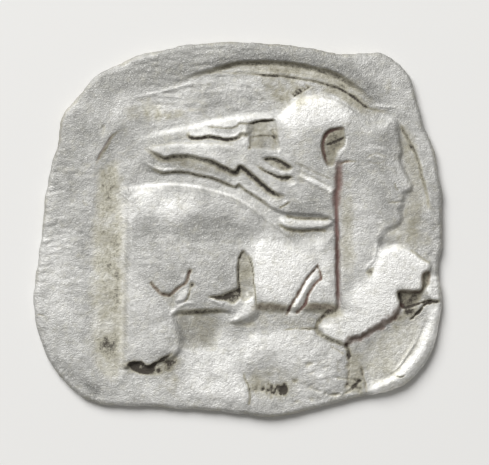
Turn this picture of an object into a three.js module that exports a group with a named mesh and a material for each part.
// A small struck silver pfennig, one closed solid. Millimetres, +Z up, the struck figure on top,
// the flat underside on z = 0, and the middle of the flan's own box on the Z axis.
// Curves are drawn in the plan of the coin, X to the right and Y up, at the width DRAWN_WIDTH.
import * as THREE from "three";

const DRAWN_WIDTH = 16.02; // width across X of the curves below
const FLAN_WIDTH = 16.0; // width across X of the finished coin

const FIELD = 0.33; // top of the plain field above the underside
const EDGE_MID = 0.17; // height of the middle of the rim's edge
const EDGE_WALL = 0.07; // upright part of the rim's edge
const EDGE_ROUND = 0.17; // how far in the edge is rounded over
const RIM_THINNING = 0.05; // how much lower the hammered margin lies at the rim
const RIM_REACH = 0.7; // how far in that thinning reaches
const UNDER_BEVEL = 0.055; // rise of the underside at the rim
const UNDER_FLAT = 0.86; // share of the outline that the flat underside takes up
const DIE_DEPTH = 0.045; // depth of the struck area below the hammered band
const DIE_SLOPE = 1.1; // width of the soft slope between them
const WAVE = 0.012; // height of the flan's slow unevenness

const RIM_STEP = 0.4; // spacing of the points along the rim
const LINE_STEP = 0.24; // spacing of the points along the relief's edges
const GRID_STEP = 0.44; // spacing of the points between them
const LINE_GAP = 0.065; // nearest that two points of the relief's edges may lie
const GRID_GAP = 0.2; // nearest that a point in between may lie to an edge

const OUTLINE = [
  [-7.0, 4.15], [-6.9, 4.5], [-6.5, 4.98], [-6.1, 5.45], [-5.65, 6.0], [-5.0, 6.32], [-4.5, 6.55],
  [-4.0, 6.78], [-3.25, 6.98], [-2.35, 7.17], [-1.27, 7.32], [-0.6, 7.36], [0.65, 7.33], [2.0, 7.22],
  [3.0, 7.06], [3.9, 6.88], [4.25, 6.85], [4.7, 6.87], [5.5, 6.92], [5.75, 6.85], [6.1, 6.63],
  [6.6, 6.2], [6.9, 5.6], [7.05, 4.9], [7.25, 4.1], [7.6, 3.35], [7.8, 2.5], [7.98, 1.4], [7.97, 0.9],
  [8.0, 0.0], [7.99, -0.7], [7.85, -1.4], [7.88, -2.0], [7.97, -2.9], [7.85, -3.7], [7.72, -4.4],
  [7.45, -5.1], [7.0, -5.7], [6.5, -6.1], [6.0, -6.33], [5.4, -6.48], [4.6, -6.65], [3.9, -6.82],
  [3.25, -7.0], [2.6, -7.15], [1.4, -7.4], [0.7, -7.36], [-0.6, -7.2], [-2.0, -7.08], [-3.2, -7.0],
  [-4.5, -6.95], [-5.3, -6.9], [-5.8, -6.78], [-6.3, -6.5], [-6.9, -5.9], [-7.35, -5.3],
  [-7.7, -4.5], [-7.9, -3.8], [-8.02, -3.0], [-7.98, -2.2], [-7.87, -1.4], [-7.7, 0.0],
  [-7.58, 1.3], [-7.45, 2.0], [-7.3, 2.65], [-7.1, 3.3], [-7.05, 3.8],
];

// The area that the die pressed down, inside the hammered band.
const DIE_AREA = [
  [-5.4, 2.3], [-4.9, 3.3], [-4.3, 4.2], [-3.2, 5.4], [-1.5, 6.1], [0.7, 6.45], [2.5, 6.35],
  [4.0, 5.95], [5.4, 5.1], [6.3, 4.4], [6.9, 3.2], [7.3, 2.0], [7.45, 0.5], [7.4, -1.2], [7.1, -2.9],
  [6.4, -4.6], [5.0, -5.8], [2.5, -6.6], [0.0, -6.5], [-3.0, -6.2], [-4.9, -5.8], [-5.3, -4.0],
  [-5.2, 0.0],
];

// Closed edges of the raised parts.
const BODY = [
  [-4.55, 1.5], [-4.0, 1.56], [-3.25, 1.67], [-2.25, 1.68], [-1.25, 1.53], [-0.25, 1.22],
  [0.5, 0.8], [1.0, 0.42], [1.7, 0.05], [2.6, -0.2], [3.72, -0.2], [3.78, -3.05], [3.3, -3.1],
  [2.45, -3.42], [1.9, -3.38], [0.8, -3.12], [0.6, -3.45], [-0.1, -3.6], [-0.6, -3.3], [-2.35, -3.3],
  [-2.72, -3.5], [-2.58, -4.2], [-2.65, -4.7], [-3.0, -5.1], [-3.5, -5.42], [-3.85, -5.22],
  [-4.5, -5.38], [-4.52, -4.0], [-4.42, 0.0],
];
const HEAD = [
  [1.58, 4.35], [2.0, 4.8], [2.6, 5.13], [3.4, 5.17], [4.2, 4.85], [4.75, 4.45], [5.1, 4.33],
  [5.6, 4.36], [6.05, 4.42], [6.2, 4.25], [6.24, 3.75], [6.3, 3.3], [6.38, 3.02], [6.28, 2.72],
  [6.42, 2.35], [6.6, 1.95], [6.78, 1.64], [6.66, 1.48], [6.4, 1.4], [6.46, 1.16], [6.35, 1.03],
  [6.42, 0.9], [6.26, 0.7], [6.34, 0.42], [6.2, 0.14], [5.8, 0.0], [5.5, -0.2], [5.42, -0.9],
  [5.3, -1.4], [4.9, -2.0], [4.5, -2.3], [4.2, -2.65], [4.02, -3.1], [3.98, -0.2], [3.7, 0.5],
  [3.7, 1.3], [3.0, 1.65], [2.4, 1.98], [2.25, 2.4], [1.75, 2.9], [1.62, 3.4],
];
const WING = [
  [-3.95, 3.3], [-3.4, 3.62], [-2.1, 3.93], [-1.1, 4.17], [0.0, 4.37], [1.0, 4.48], [1.56, 4.38],
  [1.66, 3.3], [2.2, 2.4], [3.0, 1.72], [3.7, 1.3], [3.7, 0.3], [2.4, 0.4], [1.8, 0.5], [1.0, 1.15],
  [0.2, 1.62], [-0.1, 1.6], [-1.0, 1.97], [-2.2, 2.2], [-3.0, 2.2], [-3.75, 2.5], [-3.95, 2.9],
];
const PAW = [
  [5.95, -0.74], [6.3, -0.72], [6.9, -0.95], [7.5, -1.42], [7.22, -1.85], [7.18, -2.35],
  [6.5, -2.45], [6.25, -2.5], [6.22, -2.75], [6.33, -3.0], [6.0, -3.55], [5.5, -3.85],
  [4.9, -4.15], [4.4, -4.3], [4.1, -4.52], [3.6, -4.35], [3.3, -4.2], [3.12, -3.8], [3.55, -3.3],
  [3.9, -3.1], [4.2, -2.6], [4.5, -2.25], [4.9, -2.0], [5.2, -1.7], [5.5, -1.0],
];
const LOWER_MASS = [
  [0.5, -4.2], [1.8, -3.95], [2.9, -3.95], [3.4, -4.5], [4.15, -4.9], [4.2, -5.8], [3.4, -6.2],
  [2.4, -5.9], [1.4, -5.35], [0.5, -5.5], [0.2, -5.0],
];
const LOWER_LEFT_MASS = [
  [-2.2, -4.8], [-1.2, -4.75], [-0.5, -4.3], [0.1, -4.9], [0.2, -5.8], [0.3, -6.5], [-0.8, -6.7],
  [-2.0, -6.4],
];

// Closed edges of the sunk parts.
const SQUARE_PIT = [[0.45, 4.1], [1.45, 4.23], [1.6, 3.3], [1.6, 3.07], [0.52, 3.15], [0.42, 3.6]];
const EAR_PIT = [
  [3.3, 3.1], [3.3, 3.4], [3.42, 3.7], [3.65, 3.87], [4.1, 3.9], [4.18, 3.5], [4.0, 3.1],
  [3.82, 2.8], [3.74, 2.5], [3.6, 2.42], [3.45, 2.55], [3.36, 2.8],
];
const PAW_PIT = [
  [6.35, -2.55], [7.1, -2.55], [7.25, -2.2], [7.22, -1.9], [7.48, -1.75], [7.42, -2.3],
  [7.15, -2.85], [6.85, -3.03], [6.5, -3.05], [6.38, -2.9],
];
const FLAP_BED = [
  [4.95, -4.7], [5.8, -4.1], [6.6, -3.6], [7.2, -3.45], [7.05, -4.3], [6.6, -5.1], [6.0, -5.8],
  [5.2, -6.2], [4.95, -5.6],
];
const CORNER_PIT = [[0.55, -5.7], [1.5, -5.6], [2.25, -6.0], [2.1, -6.5], [1.3, -6.65], [0.55, -6.3]];
const BELLY_PIT = [[-2.25, -3.5], [-0.9, -3.45], [-0.9, -4.6], [-1.7, -4.75], [-2.3, -4.5]];

// Long steps: the ground is high on the left of the path's own direction and low on its right.
const BORDER = [
  [-3.0, 5.62], [-2.0, 5.95], [-1.0, 6.25], [0.0, 6.5], [0.7, 6.55], [1.5, 6.55], [2.5, 6.42],
  [3.5, 6.2], [4.3, 5.8], [4.9, 5.4], [5.4, 5.05], [6.05, 4.93],
];
const INNER_BORDER = [[0.0, 6.07], [1.0, 6.05], [2.0, 5.97], [3.5, 5.68], [4.5, 5.2], [5.4, 4.7], [6.0, 4.5]];
const FRONT_BORDER = [[6.5, 3.9], [6.8, 3.3], [7.1, 2.6], [7.4, 1.85], [7.5, 0.9]];
const LEFT_CREASE = [[-5.7, 2.25], [-5.35, 2.95], [-5.0, 3.6], [-4.5, 3.93], [-4.2, 4.0]];
const FEATHER_A = [[-1.25, 4.0], [-0.5, 3.93], [0.05, 4.1], [0.4, 4.13]];
const FEATHER_B = [[-1.95, 3.65], [-1.25, 3.6], [-0.5, 3.48], [0.1, 3.66], [0.4, 3.68]];
const FEATHER_C = [
  [-3.65, 3.1], [-3.25, 2.88], [-2.9, 2.76], [-2.0, 2.8], [-1.0, 2.6], [-0.5, 2.35], [-0.12, 2.18],
  [0.05, 2.4], [0.5, 2.1], [1.0, 1.65], [1.5, 1.3], [2.0, 1.22],
];
const FEATHER_D = [
  [-3.55, 2.42], [-3.0, 2.18], [-2.0, 2.18], [-1.0, 1.97], [-0.12, 1.62], [0.02, 1.74],
  [0.75, 1.22], [1.25, 0.85], [1.65, 0.68],
];
const STRAP = [[2.25, 2.55], [2.75, 2.35], [3.25, 2.05], [3.75, 1.7]];
const LOW_BAND = [[1.85, 0.48], [2.5, 0.4], [3.6, 0.37]];
const LOW_LINE = [[1.65, 0.18], [2.0, -0.02], [2.5, -0.1], [3.6, -0.07]];
const FLAP_RIDGE = [
  [7.7, -3.1], [7.55, -3.7], [7.3, -4.4], [7.05, -4.9], [6.6, -5.5], [6.1, -5.98], [5.2, -6.42],
];

// Grooves: path, width, depth.
const SLIT = [[3.92, 2.45], [3.92, 1.6], [3.85, 0.9], [3.85, 0.0], [3.88, -1.6], [3.9, -3.0]];
const LENS_UPPER = [[1.05, 2.68], [1.55, 2.62], [2.1, 2.36]];
const LENS_LOWER = [[1.05, 2.2], [1.6, 1.95], [2.15, 1.88]];
const LEG_GAP = [[0.25, -0.95], [0.25, -1.6], [0.3, -2.2], [0.38, -2.9]];
const LEG_SLOT = [[3.1, -1.6], [2.8, -2.1], [2.5, -2.6], [2.15, -3.3]];
const BELLY_FORK_LEFT = [[-3.35, -2.25], [-2.95, -2.65], [-2.7, -2.7], [-2.72, -3.3]];
const BELLY_FORK_RIGHT = [[-2.65, -2.65], [-2.35, -2.3], [-2.05, -2.05], [-1.9, -1.7]];
const BELLY_WEDGE = [[-1.1, -2.72], [-0.5, -2.68], [0.0, -2.5]];
const PAW_CRACK = [[6.3, -3.1], [5.85, -3.6], [5.3, -3.97], [4.7, -4.35], [4.35, -4.6], [4.33, -5.3], [4.45, -5.95]];
const EDGE_CRACK = [[7.7, -2.9], [7.35, -3.0], [7.05, -3.3], [6.7, -3.6]];
const LEFT_CRACK = [[3.5, -3.35], [3.1, -3.85], [3.25, -4.2], [3.8, -4.5], [4.3, -4.75]];
const EYE_LINE = [[5.0, 2.78], [5.35, 2.93], [5.75, 2.72]];
const MOUTH_LINE = [[5.85, 0.98], [6.25, 1.03]];

const clamp01 = (t) => Math.min(1, Math.max(0, t));
const ease = (t) => clamp01(t) ** 2 * (3 - 2 * clamp01(t));

// A smooth curve through the drawn points, as evenly spaced plan points.
function curve(points, closed, step) {
  const spline = new THREE.CatmullRomCurve3(
    points.map(([x, y]) => new THREE.Vector3(x, y, 0)), closed, "centripetal");
  spline.arcLengthDivisions = points.length * 12;
  const count = Math.max(2, Math.round(spline.getLength() / step));
  const spaced = spline.getSpacedPoints(count).map((p) => [p.x, p.y]);
  if (closed) spaced.pop();
  return spaced;
}

// The curve moved sideways, to the left of its own direction when the distance is positive.
function shifted(points, closed, distance) {
  const n = points.length;
  return points.map(([x, y], i) => {
    const before = points[closed ? (i + n - 1) % n : Math.max(0, i - 1)];
    const after = points[closed ? (i + 1) % n : Math.min(n - 1, i + 1)];
    const dx = after[0] - before[0];
    const dy = after[1] - before[1];
    const length = Math.hypot(dx, dy) || 1;
    return [x - (dy / length) * distance, y + (dx / length) * distance];
  });
}

// Distance to a path, which side of it the point lies on, and how far along it is.
function nearest(path, closed, x, y) {
  const n = path.length;
  const last = closed ? n : n - 1;
  const best = { distance: Infinity, side: 1, along: 0 };
  for (let i = 0; i < last; i++) {
    const [ax, ay] = path[i];
    const [bx, by] = path[(i + 1) % n];
    const dx = bx - ax;
    const dy = by - ay;
    const t = clamp01(((x - ax) * dx + (y - ay) * dy) / (dx * dx + dy * dy));
    const distance = Math.hypot(x - ax - t * dx, y - ay - t * dy);
    if (distance < best.distance) {
      best.distance = distance;
      best.side = dx * (y - ay) - dy * (x - ax) >= 0 ? 1 : -1;
      best.along = (i + t) / last;
    }
  }
  return best;
}

function isInside(polygon, x, y) {
  let inside = false;
  for (let i = 0, j = polygon.length - 1; i < polygon.length; j = i++) {
    const [ax, ay] = polygon[i];
    const [bx, by] = polygon[j];
    if (ay > y !== by > y && x < ((bx - ax) * (y - ay)) / (by - ay) + ax) inside = !inside;
  }
  return inside;
}

const depthInside = (polygon, x, y) =>
  nearest(polygon, true, x, y).distance * (isInside(polygon, x, y) ? 1 : -1);

// A raised or sunk area: the ramp at its edge has the width slope, and the inside swells by dome.
function area(points, height, slope, dome = 0) {
  const edge = curve(points, true, LINE_STEP);
  return {
    lines: [shifted(edge, true, slope / 2), shifted(edge, true, -slope / 2)],
    at(x, y) {
      const depth = depthInside(edge, x, y);
      const swell = depth > 0 ? dome * (1 - Math.exp(-depth / 0.7)) : 0;
      return height * ease(depth / slope + 0.5) + swell;
    },
  };
}

// A step: high on the left of the path, low on its right, level again within reach of it.
function step(points, drop, reach, width = 0.12) {
  const path = curve(points, false, LINE_STEP);
  return {
    lines: [shifted(path, false, width / 2), shifted(path, false, -width / 2)],
    at(x, y) {
      const { distance, side, along } = nearest(path, false, x, y);
      const away = distance * side;
      const ends = ease(along / 0.08) * ease((1 - along) / 0.08);
      const face = Math.max(-1, Math.min(1, away / (width / 2)));
      return 0.5 * drop * face * ends * Math.exp(-Math.max(0, distance - width / 2) / reach);
    },
  };
}

// A groove of V section that runs out at both ends.
function groove(points, width, depth) {
  const path = curve(points, false, LINE_STEP);
  return {
    lines: [path, shifted(path, false, width / 2), shifted(path, false, -width / 2)],
    at(x, y) {
      const { distance, along } = nearest(path, false, x, y);
      const ends = 0.35 + 0.65 * ease(along / 0.15) * ease((1 - along) / 0.15);
      return -depth * ends * clamp01(1 - distance / (width / 2));
    },
  };
}

const RELIEF = [
  area(BODY, 0.12, 0.18, 0.06),
  area(HEAD, 0.12, 0.18, 0.06),
  area(WING, 0.08, 0.2, 0.04),
  area(PAW, 0.14, 0.18, 0.06),
  area(LOWER_MASS, 0.05, 0.3, 0.05),
  area(LOWER_LEFT_MASS, 0.03, 0.3, 0.04),
  area(SQUARE_PIT, -0.09, 0.1),
  area(EAR_PIT, -0.12, 0.12),
  area(PAW_PIT, -0.1, 0.12),
  area(FLAP_BED, -0.035, 0.3),
  area(CORNER_PIT, -0.04, 0.3),
  area(BELLY_PIT, -0.03, 0.3),
  step(BORDER, 0.09, 0.6, 0.14),
  step(INNER_BORDER, 0.035, 0.2, 0.1),
  step(FRONT_BORDER, 0.04, 0.3, 0.12),
  step(LEFT_CREASE, 0.04, 0.4, 0.14),
  step(FEATHER_A, 0.05, 0.22, 0.09),
  step(FEATHER_B, 0.065, 0.25, 0.1),
  step(FEATHER_C, 0.12, 0.32, 0.13),
  step(FEATHER_D, 0.075, 0.25, 0.1),
  step(STRAP, 0.06, 0.25, 0.1),
  step(LOW_BAND, 0.09, 0.18, 0.13),
  step(LOW_LINE, 0.05, 0.2, 0.1),
  step([...FLAP_RIDGE].reverse(), 0.08, 0.35, 0.2),
  groove(SLIT, 0.2, 0.14),
  groove(LENS_UPPER, 0.24, 0.06),
  groove(LENS_LOWER, 0.22, 0.06),
  groove(LEG_GAP, 0.36, 0.11),
  groove(LEG_SLOT, 0.26, 0.1),
  groove(BELLY_FORK_LEFT, 0.16, 0.08),
  groove(BELLY_FORK_RIGHT, 0.16, 0.08),
  groove(BELLY_WEDGE, 0.26, 0.08),
  groove(PAW_CRACK, 0.2, 0.09),
  groove(EDGE_CRACK, 0.14, 0.06),
  groove(LEFT_CRACK, 0.16, 0.06),
  groove(EYE_LINE, 0.16, 0.035),
  groove(MOUTH_LINE, 0.14, 0.035),
];

const RIM = curve(OUTLINE, true, RIM_STEP).reverse();
const DIE = curve(DIE_AREA, true, 0.6);

function topAt(x, y) {
  const inset = depthInside(RIM, x, y);
  let z = FIELD - RIM_THINNING * Math.exp(-Math.max(0, inset) / RIM_REACH);
  z += DIE_DEPTH * (1 - ease(depthInside(DIE, x, y) / DIE_SLOPE + 0.5));
  z += WAVE * (Math.sin(0.9 * x + 0.6) * Math.cos(0.7 * y - 0.4) + 0.5 * Math.sin(1.7 * y + 0.8 * x));
  const settled = ease(inset / 0.6);
  for (const part of RELIEF) z += settled * part.at(x, y);
  return z;
}

// Plan triangulation: each point in turn replaces the triangles whose circle holds it.
function triangulated(points) {
  const far = 100;
  const all = [...points, [-far, -far], [far, -far], [0, far]];
  const circle = (a, b, c) => {
    const [ax, ay] = all[a];
    const bx = all[b][0] - ax;
    const by = all[b][1] - ay;
    const cx = all[c][0] - ax;
    const cy = all[c][1] - ay;
    const d = 2 * (bx * cy - by * cx);
    const ux = (cy * (bx * bx + by * by) - by * (cx * cx + cy * cy)) / d;
    const uy = (bx * (cx * cx + cy * cy) - cx * (bx * bx + by * by)) / d;
    return { corners: [a, b, c], x: ax + ux, y: ay + uy, r2: ux * ux + uy * uy };
  };
  const n = points.length;
  let triangles = [circle(n, n + 1, n + 2)];
  for (let p = 0; p < n; p++) {
    const [x, y] = all[p];
    const edges = new Map();
    const kept = [];
    for (const t of triangles) {
      if ((t.x - x) ** 2 + (t.y - y) ** 2 >= t.r2) {
        kept.push(t);
        continue;
      }
      for (let k = 0; k < 3; k++) {
        const a = t.corners[k];
        const b = t.corners[(k + 1) % 3];
        if (!edges.delete(b * all.length + a)) edges.set(a * all.length + b, [a, b]);
      }
    }
    for (const [a, b] of edges.values()) kept.push(circle(a, b, p));
    triangles = kept;
  }
  return triangles.map((t) => t.corners).filter((c) => c.every((i) => i < n));
}

// Plan points of the relief: its edges first, then an even spread in between.
function reliefPoints(boundary) {
  const points = [...boundary];
  const cells = new Map();
  const cellOf = (v) => Math.floor(v / GRID_GAP);
  const remember = ([x, y]) => {
    const key = cellOf(x) + "," + cellOf(y);
    cells.set(key, [...(cells.get(key) || []), [x, y]]);
  };
  const isFree = (x, y, gap) => {
    for (let i = -1; i <= 1; i++)
      for (let j = -1; j <= 1; j++)
        for (const [px, py] of cells.get(cellOf(x) + i + "," + (cellOf(y) + j)) || [])
          if (Math.hypot(px - x, py - y) < gap) return false;
    return true;
  };
  const add = (x, y, gap) => {
    const px = x + 0.004 * Math.sin(91.7 * x + 37.1 * y);
    const py = y + 0.004 * Math.sin(53.3 * x - 71.9 * y);
    if (depthInside(boundary, px, py) < 0.14 || !isFree(px, py, gap)) return;
    points.push([px, py]);
    remember([px, py]);
  };
  boundary.forEach(remember);
  for (const part of RELIEF)
    for (const line of part.lines)
      for (const [x, y] of line) add(x, y, LINE_GAP);
  const rowStep = (GRID_STEP * Math.sqrt(3)) / 2;
  for (let row = 0, y = -8; y < 8; row++, y += rowStep)
    for (let x = -9 + (row % 2) * (GRID_STEP / 2); x < 9; x += GRID_STEP) add(x, y, GRID_GAP);
  return points;
}

// The rings of the rim, from the shoulder on top over the edge to the flat underside.
const ringHeight = (from, inset) =>
  from * Math.sqrt(1 - (1 - clamp01(inset / EDGE_ROUND)) ** 2);

function coinMesh() {
  const vertices = [];
  const faces = [];
  const count = RIM.length;
  const addRing = (plan, heightAt) => {
    const first = vertices.length;
    for (const [x, y] of plan) vertices.push([x, y, heightAt(x, y)]);
    return first;
  };
  const join = (outer, inner) => {
    for (let i = 0; i < count; i++) {
      const j = (i + 1) % count;
      faces.push([outer + i, outer + j, inner + j], [outer + i, inner + j, inner + i]);
    }
  };
  const half = EDGE_WALL / 2;
  const shoulderPlan = shifted(RIM, true, EDGE_ROUND);
  const midPlan = shifted(RIM, true, EDGE_ROUND * 0.35);

  const plan = reliefPoints(shoulderPlan);
  const shoulder = addRing(plan, topAt);
  const topMid = addRing(midPlan, (x, y) =>
    EDGE_MID + half + ringHeight(topAt(x, y) - EDGE_MID - half, EDGE_ROUND * 0.35));
  const wallTop = addRing(RIM, () => EDGE_MID + half);
  const wallLow = addRing(RIM, () => EDGE_MID - half);
  const underMid = addRing(midPlan, () =>
    EDGE_MID - half - ringHeight(EDGE_MID - half - UNDER_BEVEL, EDGE_ROUND * 0.35));
  const underShoulder = addRing(shoulderPlan, () => UNDER_BEVEL);
  const flatPlan = RIM.map(([x, y]) => [x * UNDER_FLAT, y * UNDER_FLAT]);
  const flat = addRing(flatPlan, () => 0);

  join(topMid, shoulder);
  join(wallTop, topMid);
  join(wallLow, wallTop);
  join(underMid, wallLow);
  join(underShoulder, underMid);
  join(flat, underShoulder);

  for (const [a, b, c] of triangulated(plan)) {
    const x = (plan[a][0] + plan[b][0] + plan[c][0]) / 3;
    const y = (plan[a][1] + plan[b][1] + plan[c][1]) / 3;
    if (!isInside(shoulderPlan, x, y)) continue;
    const turn = (plan[b][0] - plan[a][0]) * (plan[c][1] - plan[a][1]) -
      (plan[b][1] - plan[a][1]) * (plan[c][0] - plan[a][0]);
    faces.push(turn > 0 ? [shoulder + a, shoulder + b, shoulder + c] : [shoulder + a, shoulder + c, shoulder + b]);
  }
  const flatContour = flatPlan.map(([x, y]) => new THREE.Vector2(x, y));
  for (const [a, b, c] of THREE.ShapeUtils.triangulateShape(flatContour, [])) {
    faces.push([flat + a, flat + c, flat + b]);
  }
  return { vertices, faces };
}

const { vertices, faces } = coinMesh();
const box = new THREE.Box3().setFromPoints(vertices.map((v) => new THREE.Vector3(...v)));
const middle = box.getCenter(new THREE.Vector3());
const scale = FLAN_WIDTH / DRAWN_WIDTH;
const positions = vertices.flatMap(([x, y, z]) => [(x - middle.x) * scale, (y - middle.y) * scale, z * scale]);

const geometry = new THREE.BufferGeometry();
geometry.setAttribute("position", new THREE.Float32BufferAttribute(positions, 3));
geometry.setIndex(faces.flat());
geometry.computeVertexNormals();

const coin = new THREE.Mesh(geometry, new THREE.MeshStandardMaterial({ color: 0xc9c9c4, metalness: 1 }));
coin.name = "coin";
const pfennig = new THREE.Group();
pfennig.name = "pfennig";
pfennig.add(coin);

export default pfennig;
